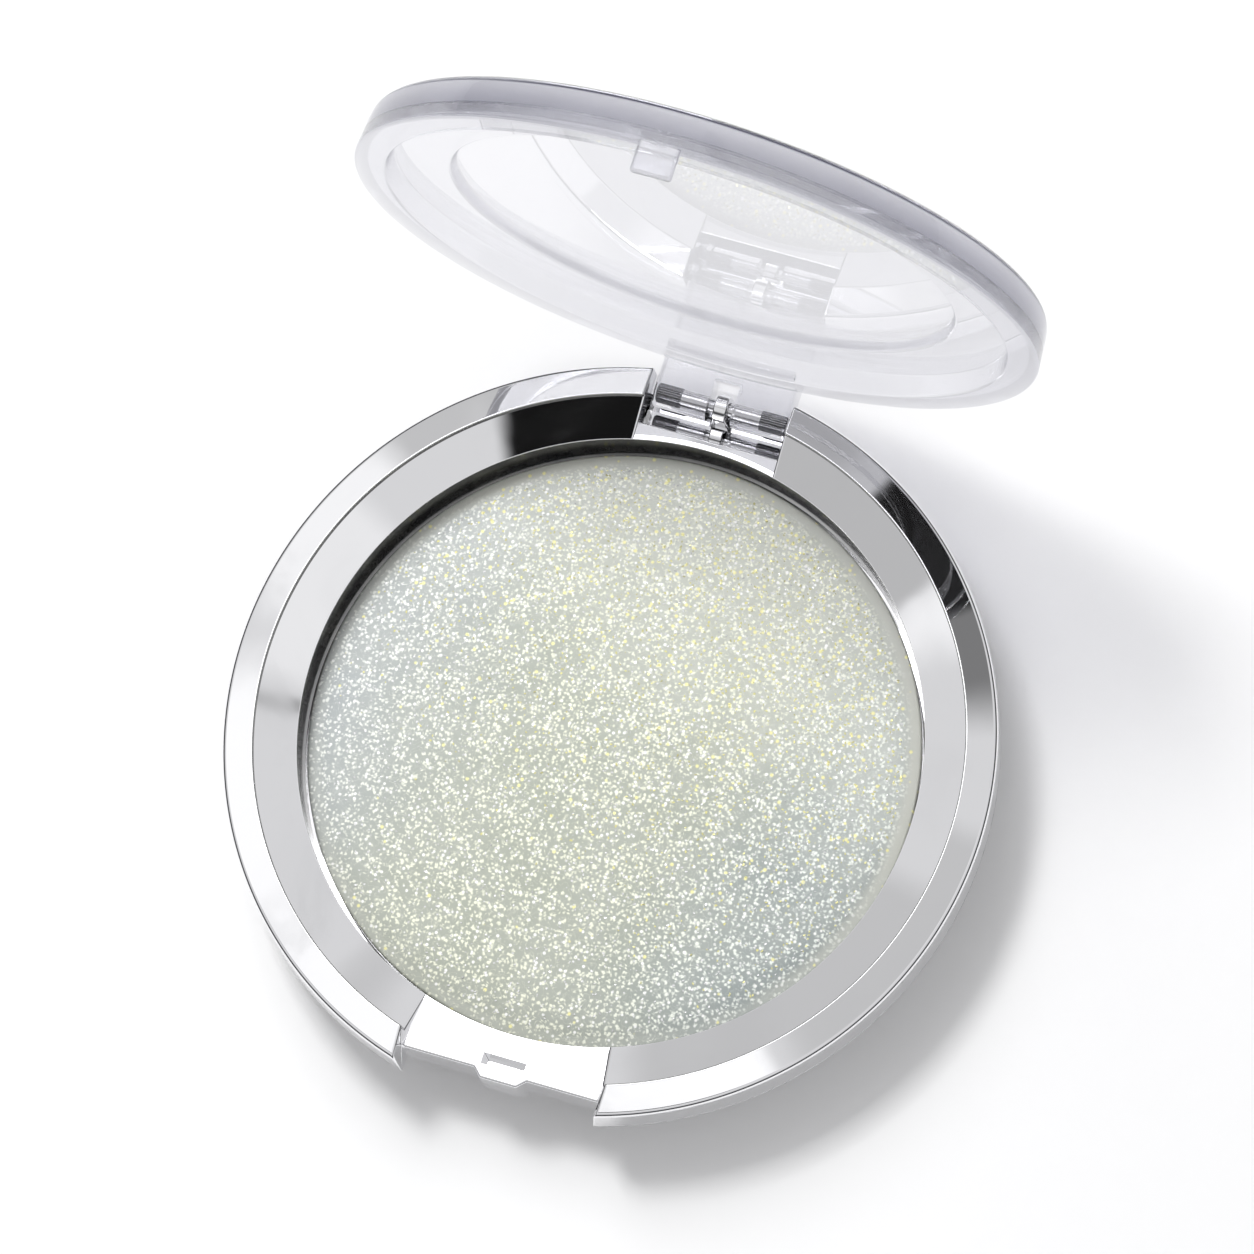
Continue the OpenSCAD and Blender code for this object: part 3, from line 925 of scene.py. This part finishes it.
def make_lid():
    """The clear lid with its knuckles and its catch tab, as one moulding."""
    lid = turned("clear_lid", lid_outline())
    half, back = BLOCK_W / 2, PIN_Y + KNUCKLE_R
    crown = [(y, z, 0) for y, z in arc(PIN_Y, PIN_Z, KNUCKLE_R, 180, 360, 18)]
    block_outline = rounded([(PIN_Y - KNUCKLE_R, RIM_Z + 1.0, 0)] + crown + [
        (back, BLOCK_TOP, 0.5), (LID_R - 2.5, BLOCK_TOP, 0), (LID_R - 2.5, RIM_Z + 1.0, 0)])
    block = prism("knuckles", block_outline, -half, half, across, 0.3, 0.3)
    combine(block, rod("tongue_slot", BLOCK_SLOT_R, TONGUE_W / 2 + 0.3), "DIFFERENCE")
    tab_outline = rounded([(-TAB_W / 2, -TAB_Y, 0.2), (-TAB_W / 2, -TAB_Y - TAB_T, 0.25),
                           (TAB_W / 2, -TAB_Y - TAB_T, 0.25), (TAB_W / 2, -TAB_Y, 0.2)])
    tab = prism("tab", tab_outline, RIM_Z - TAB_LEN, RIM_Z + 0.6, upright, 0.3, 0.0)
    combine(lid, block, "UNION")
    combine(lid, tab, "UNION")
    shade(lid, radians(28))
    dress(opened(lid), CLEAR)
    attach(lid, "cover")
    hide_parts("lid")
    return lid


# ---- repeated details
GEOMETRY = ("Geometry", "NodeSocketGeometry")


def grow(name, tree, base_mesh, **settings):
    """Runs a geometry tree on a mesh and returns the result as a plain object."""
    obj = added(name, base_mesh)
    modifier = obj.modifiers.new("grow", "NODES")
    modifier.node_group = tree
    for item in tree.interface.items_tree:
        key = item.name.replace(" ", "_")
        if item.in_out == "INPUT" and key in settings:
            modifier[item.identifier] = settings[key]
    bpy.context.view_layer.update()
    return settle(obj)


def end_tree(tree, grown, given, out):
    """Ends a geometry tree: the instances become plain mesh and get their material."""
    real = tree.nodes.new("GeometryNodeRealizeInstances")
    link(tree, grown, real.inputs[0])
    finish = tree.nodes.new("GeometryNodeSetMaterial")
    link(tree, real.outputs[0], finish.inputs["Geometry"])
    link(tree, given["Finish"], finish.inputs["Material"])
    link(tree, finish.outputs[0], out["Geometry"])
    return tree


def knurl_tree():
    """Straight ridges around a wire's end."""
    tree, given, out = new_tree("GeometryNodeTree", "knurl_ridges", [
        GEOMETRY, ("Ridges", 22), ("Radius", 0.0007), ("Length", 0.0026), ("Width", 0.00014),
        ("Centre", 0.0), ("Finish", "NodeSocketMaterial")], [GEOMETRY])
    nodes = tree.nodes
    circle = nodes.new("GeometryNodeMeshCircle")
    link(tree, given["Ridges"], circle.inputs["Vertices"])
    link(tree, given["Radius"], circle.inputs["Radius"])
    ridge = nodes.new("GeometryNodeMeshCube")
    size = nodes.new("ShaderNodeCombineXYZ")
    for source, axis in (("Width", "X"), ("Width", "Y"), ("Length", "Z")):
        link(tree, given[source], size.inputs[axis])
    link(tree, size.outputs[0], ridge.inputs["Size"])
    place = nodes.new("GeometryNodeInputPosition")
    aim = nodes.new("FunctionNodeAlignRotationToVector")
    aim.axis = "X"
    aim.pivot_axis = "Z"
    link(tree, place.outputs[0], aim.inputs["Vector"])
    quarter = nodes.new("FunctionNodeRotateRotation")
    quarter.rotation_space = "LOCAL"
    quarter.inputs["Rotate By"].default_value = (0.0, 0.0, radians(45))
    link(tree, aim.outputs[0], quarter.inputs["Rotation"])
    instances = nodes.new("GeometryNodeInstanceOnPoints")
    link(tree, circle.outputs["Mesh"], instances.inputs["Points"])
    link(tree, ridge.outputs["Mesh"], instances.inputs["Instance"])
    link(tree, quarter.outputs[0], instances.inputs["Rotation"])
    shift = nodes.new("GeometryNodeTransform")
    along = nodes.new("ShaderNodeCombineXYZ")
    link(tree, given["Centre"], along.inputs["X"])
    link(tree, instances.outputs[0], shift.inputs["Geometry"])
    link(tree, along.outputs[0], shift.inputs["Translation"])
    shift.inputs["Rotation"].default_value = (0.0, radians(90), 0.0)
    return end_tree(tree, shift.outputs[0], given, out)


def make_pin():
    """The hinge pin: a thin middle and two knurled ends."""
    half, grip, core = PIN_LEN / 2, PIN_D / 2, PIN_D / 2 - 0.08
    outline = [(0.0, -half)] + rounded([
        (0.3, -half, 0), (core, -half, 0.12), (core, -half + KNURL_LEN, 0.03), (core, half - KNURL_LEN, 0.03),
        (core, half, 0.12), (0.3, half, 0)]) + [(0.0, half)]
    body = turned("pin_body", outline, 48)
    body.data.transform(Matrix.Rotation(radians(90), 4, "Y"))
    shade(body)
    parts = [body]
    tree = knurl_tree()
    for name, centre in (("knurl_left", -half + KNURL_LEN / 2), ("knurl_right", half - KNURL_LEN / 2)):
        parts.append(grow(name, tree, bpy.data.meshes.new(name), Ridges=22, Radius=(grip - 0.085) * MM,
                          Length=2.45 * MM, Width=0.115 * MM, Centre=centre * MM, Finish=KNURL))
    dress(body, STEEL)
    pin = join("steel_pin", *parts)
    pin.data.transform(Matrix.Translation((0, PIN_Y * MM, PIN_Z * MM)))
    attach(pin, "cover")
    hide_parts("hinge_pin")
    return pin


# ---- the gel and its glitter
GEL_SOFT_W = 1.6
FLAKE_LOW = 0.00005
HALF_TURN = 3.14


def gel_height(r):
    """Height of the gel's dome at a radius."""
    edge_r, edge_z, top_z = PAN_HIGH[0], PAN_HIGH[2] + 0.3, GEL_HIGH[2]
    rise = top_z - edge_z
    sphere = (edge_r ** 2 + rise ** 2) / (2 * rise)
    return top_z - sphere + sqrt(max(sphere ** 2 - r * r, 0.0))


def gel_outline():
    """The gel's section from its underside to the top of its dome. Its soft edge lies on the pan's rim."""
    fill_r, edge_r, base, rim_z = GEL_HIGH[0] - 0.01, PAN_HIGH[0], GEL_LOW[2], PAN_HIGH[2] + 0.01
    dome = []
    for i in range(1, 60):
        radius = (edge_r - GEL_SOFT_W) * (1 - i / 60)
        dome.append((radius, gel_height(radius)))
    soft = rounded([(1.0, base, 0), (fill_r, base, 0.35), (fill_r, rim_z, 0), (edge_r, rim_z, 0.08),
                    (edge_r, gel_height(edge_r) + 0.1, 0.3), (edge_r - 1.2, gel_height(edge_r - 1.2), 0.2),
                    (edge_r - GEL_SOFT_W, gel_height(edge_r - GEL_SOFT_W), 0)], 8)
    return [(0.0, base)] + soft + dome[1:] + [(0.0, gel_height(0.0))]


def flake_tree():
    """Small flat flakes scattered over a surface, tilted at random and thinned out away from one side."""
    tree, given, out = new_tree("GeometryNodeTree", "scattered_flakes", [
        GEOMETRY, ("Density", 1.0e6), ("Seed", 1), ("Smallest", 0.00006), ("Largest", 0.00016),
        ("Tilt", 0.6), ("Lean X", 0.0), ("Lean Y", 0.0), ("Share", 1.0),
        ("Finish", "NodeSocketMaterial")], [GEOMETRY])
    nodes = tree.nodes
    scatter = nodes.new("GeometryNodeDistributePointsOnFaces")
    link(tree, given["Geometry"], scatter.inputs["Mesh"])
    link(tree, given["Density"], scatter.inputs["Density"])
    link(tree, given["Seed"], scatter.inputs["Seed"])
    place = nodes.new("GeometryNodeInputPosition")
    parts = nodes.new("ShaderNodeSeparateXYZ")
    link(tree, place.outputs[0], parts.inputs[0])

    lean = plus(tree, times(tree, parts.outputs["X"], given["Lean X"]),
                times(tree, parts.outputs["Y"], given["Lean Y"]))
    chance = plus(tree, given["Share"], lean)
    dice = nodes.new("FunctionNodeRandomValue")
    dice.data_type = "FLOAT"
    link(tree, given["Seed"], dice.inputs["Seed"])
    drop = math_node(tree, "GREATER_THAN", dice.outputs[1], chance)
    thin = nodes.new("GeometryNodeDeleteGeometry")
    thin.domain = "POINT"
    link(tree, scatter.outputs["Points"], thin.inputs["Geometry"])
    link(tree, drop, thin.inputs["Selection"])
    shape = nodes.new("GeometryNodeMeshCircle")
    shape.fill_type = "NGON"
    shape.inputs["Vertices"].default_value = 6
    shape.inputs["Radius"].default_value = 1.0
    size = nodes.new("FunctionNodeRandomValue")
    size.data_type = "FLOAT"
    link(tree, given["Smallest"], size.inputs[2])
    link(tree, given["Largest"], size.inputs[3])
    spin = nodes.new("FunctionNodeRandomValue")
    spin.data_type = "FLOAT_VECTOR"
    top = nodes.new("ShaderNodeCombineXYZ")
    bottom = nodes.new("ShaderNodeCombineXYZ")
    for axis in ("X", "Y"):
        link(tree, given["Tilt"], top.inputs[axis])
        link(tree, times(tree, given["Tilt"], -1.0), bottom.inputs[axis])
    top.inputs["Z"].default_value = HALF_TURN
    bottom.inputs["Z"].default_value = -HALF_TURN
    link(tree, bottom.outputs[0], spin.inputs[0])
    link(tree, top.outputs[0], spin.inputs[1])
    instances = nodes.new("GeometryNodeInstanceOnPoints")
    link(tree, thin.outputs[0], instances.inputs["Points"])
    link(tree, shape.outputs["Mesh"], instances.inputs["Instance"])
    link(tree, spin.outputs[0], instances.inputs["Rotation"])
    link(tree, size.outputs[1], instances.inputs["Scale"])
    return end_tree(tree, instances.outputs[0], given, out)


def gel_skin():
    """An open dome just inside the gel's surface, for the flakes to lie on."""
    rings, count = 40, 96
    verts = [(0.0, 0.0, gel_height(0.0) * MM)]
    for i in range(1, rings + 1):
        r = (GEL_HIGH[0] - 1.2) * i / rings
        for k in range(count):
            t = 2 * pi * k / count
            verts.append((r * cos(t) * MM, r * sin(t) * MM, (gel_height(r) + 0.01) * MM))
    faces = [(0, 1 + k, 1 + (k + 1) % count) for k in range(count)]
    for i in range(rings - 1):
        a = 1 + i * count
        for k in range(count):
            m = (k + 1) % count
            faces.append((a + k, a + count + k, a + count + m, a + m))
    mesh = bpy.data.meshes.new("gel_skin")
    mesh.from_pydata(verts, [], faces)
    return mesh


def make_gel():
    """The domed gel and the glitter in its surface."""
    gel = shade(turned("domed_gel", gel_outline(), 240), radians(60))
    dress(gel, GEL)
    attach(gel, "base")
    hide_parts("gel")
    tree = flake_tree()
    skin = gel_skin()
    pearl = grow("pearl_glitter", tree, skin.copy(), Density=2.0e6, Seed=11, Smallest=FLAKE_LOW,
                 Largest=0.00016, Tilt=0.4, Lean_X=2.0, Lean_Y=6.0, Share=0.7, Finish=PEARL_FLAKE)
    gold = grow("gold_glitter", tree, skin.copy(), Density=2.6e6, Seed=29, Smallest=FLAKE_LOW,
                Largest=0.00018, Tilt=0.4, Lean_X=10.0, Lean_Y=20.0, Share=0.36, Finish=GOLD_FLAKE)
    for obj in (pearl, gold):
        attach(obj, "base")


make_frame()
make_lid()
make_pin()
make_gel()
for node, material in (("bottom_case", CHROME), ("pan", pan_metal()), ("pan_adhesive", adhesive()),
                       ("base_label", paper())):
    dress(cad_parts[node], material)


# ---- camera, floor and light
LENS = 294.8
CAMERA_DISTANCE = 1.0032
LAMP_DISTANCE = 1.1
FLOOR_HALF = 3000


def stand_camera():
    """A long lens above the front of the compact, turned a little about its own axis."""
    azimuth, elevation, roll = radians(37.556), radians(72.441), radians(-20.639)
    target = Vector((-1.901, 11.433, 9.2)) * MM
    back = Vector((sin(azimuth) * cos(elevation), -cos(azimuth) * cos(elevation),
                   sin(elevation)))
    right = Vector((cos(azimuth), sin(azimuth), 0))
    up = back.cross(right)
    side = right * cos(roll) + up * sin(roll)
    top = up * cos(roll) - right * sin(roll)
    data = bpy.data.cameras.new("camera")
    data.sensor_width = 36
    data.lens = LENS
    data.clip_start = 0.05
    data.clip_end = 20
    camera = added("camera", data)
    place = Matrix((side, top, back)).transposed().to_4x4()
    place.translation = target + back * CAMERA_DISTANCE
    camera.matrix_world = place
    bpy.context.scene.camera = camera


def softbox(name, direction, size, radiance):
    """A square light that looks at the compact from a direction and is equally bright all over."""
    data = bpy.data.lights.new(name, "AREA")
    data.shape = "SQUARE"
    data.size = size
    data.energy = radiance * pi * size * size
    light = added(name, data)
    aim = Vector((0, 0.01, 0.01))
    light.location = aim + Vector(direction).normalized() * LAMP_DISTANCE
    light.rotation_euler = (aim - light.location).to_track_quat("-Z", "Y").to_euler()
    light.visible_glossy = False


def soft_patch():
    """How far a direction lies inside a soft ellipse, seen from straight above: 1 inside, 0 outside."""
    tree, given, out = new_tree(
        "ShaderNodeTree", "soft_patch",
        [("X", 0.0), ("Y", 0.0), ("Turn", 0.0), ("Long", 0.1), ("Short", 0.1), ("Softness", 0.5)],
        [("Mask", 0.0)])
    point = tree.nodes.new("ShaderNodeTexCoord").outputs["Generated"]
    unit = tree.nodes.new("ShaderNodeVectorMath")
    unit.operation = "NORMALIZE"
    link(tree, point, unit.inputs[0])
    axes = tree.nodes.new("ShaderNodeSeparateXYZ")
    link(tree, unit.outputs[0], axes.inputs[0])
    dx = math_node(tree, "SUBTRACT", axes.outputs["X"], given["X"])
    dy = math_node(tree, "SUBTRACT", axes.outputs["Y"], given["Y"])
    c, s = math_node(tree, "COSINE", given["Turn"]), math_node(tree, "SINE", given["Turn"])
    u = plus(tree, times(tree, dx, c), times(tree, dy, s))
    v = math_node(tree, "SUBTRACT", times(tree, dy, c), times(tree, dx, s))
    u = math_node(tree, "DIVIDE", u, given["Long"])
    v = math_node(tree, "DIVIDE", v, given["Short"])
    reach = math_node(tree, "SQRT", plus(tree, times(tree, u, u), times(tree, v, v)))
    outside = plus(tree, given["Softness"], 1.0)
    inside = ramp(tree, reach, 1.0, outside, 1.0, 0.0)
    up = math_node(tree, "GREATER_THAN", axes.outputs["Z"], 0.0)
    link(tree, times(tree, inside, up), out["Mask"])
    return tree


# Soft ellipses in the sky, later ones over earlier ones: the x and y of the direction of the middle, the
# turn, the long and short half-width, the softness of the edge and the brightness.
STUDIO_PATCHES = [
    (-0.48, 0.15, 1.4, 0.19, 0.07, 0.3, 1.06),
    (-0.32, -0.195, -0.38, 0.28, 0.048, 0.25, 0.50),
    (0.29, 0.14, 1.4, 0.13, 0.035, 0.5, 0.86),
    (0.19, 0.10, 1.2, 0.14, 0.03, 0.5, 0.56),
    (-0.50, 0.48, 0.87, 0.20, 0.05, 0.5, 0.56),
    (-0.22, 0.57, 0.15, 0.22, 0.035, 0.4, 0.54),
    (-0.18, 0.66, 0.0, 0.10, 0.045, 0.3, 1.20),
    (0.02, -0.12, 0.3, 0.10, 0.035, 0.4, 1.10),
    (0.010, -0.232, 0.36, 0.115, 0.050, 0.35, 0.008),
    (-0.35, -0.065, -0.62, 0.15, 0.058, 0.15, 1.06),
    (-0.497, 0.33, 1.27, 0.10, 0.035, 0.3, 0.97),
    (0.150, 0.425, 2.11, 0.035, 0.020, 2.0, 0.20),
    (0.068, 0.509, 2.44, 0.070, 0.040, 0.22, 0.008),
    (0.285, 0.31, 1.2, 0.010, 0.006, 1.2, 0.30),
    (-0.18, 0.24, 0.0, 0.20, 0.20, 0.25, 1.10),
    (-0.18, 0.24, 0.0, 0.06, 0.06, 0.60, 4.50),
]


def studio():
    """A white tent with a few paler and darker places in it, which the bright base mirrors."""
    world = bpy.data.worlds.new("studio")
    bpy.context.scene.world = world
    world.use_nodes = True
    tree = world.node_tree
    patch = soft_patch()
    axes = tree.nodes.new("ShaderNodeSeparateXYZ")
    link(tree, tree.nodes.new("ShaderNodeTexCoord").outputs["Generated"], axes.inputs[0])
    height = ramp(tree, axes.outputs["Z"], 0.46, 0.70)
    color = blend_colors(tree, height, (0.07, 0.07, 0.075), (0.70, 0.70, 0.71))
    for x, y, turn, long, short, softness, tone in STUDIO_PATCHES:
        mask = use_group(tree, patch, X=x, Y=y, Turn=turn, Long=long, Short=short, Softness=softness)["Mask"]
        color = blend_colors(tree, mask, color, (tone, tone, tone * 1.01))
    path = tree.nodes.new("ShaderNodeLightPath")
    color = blend_colors(tree, path.outputs["Is Camera Ray"], color, (0.94, 0.94, 0.94))
    link(tree, color, tree.nodes["Background"].inputs["Color"])


stand_camera()
studio()
softbox("key_light", (-0.36, 0.30, 0.88), 0.26, 29.5)
softbox("back_light", (-0.42, 0.55, 0.72), 0.50, 4.5)
softbox("front_fill", (0.30, -0.80, 0.50), 0.50, 2.4)
bpy.context.scene.view_settings.view_transform = "Standard"


def floor_white():
    """Seamless matt white paper."""
    material, tree, shader = finish_of("white_paper", (0.84, 0.84, 0.84), 0.0, 0.9)
    grain = noise(tree, object_point(tree), 400.0, 3.0)
    paint(tree, shader, grain, (0.845, 0.845, 0.845), (0.835, 0.835, 0.835))
    return material


corners = [(-FLOOR_HALF, -FLOOR_HALF, 0), (FLOOR_HALF, -FLOOR_HALF, 0), (FLOOR_HALF, FLOOR_HALF, 0),
           (-FLOOR_HALF, FLOOR_HALF, 0)]
floor = mesh_from("floor", corners, [(0, 1, 2, 3)])
dress(floor, floor_white())
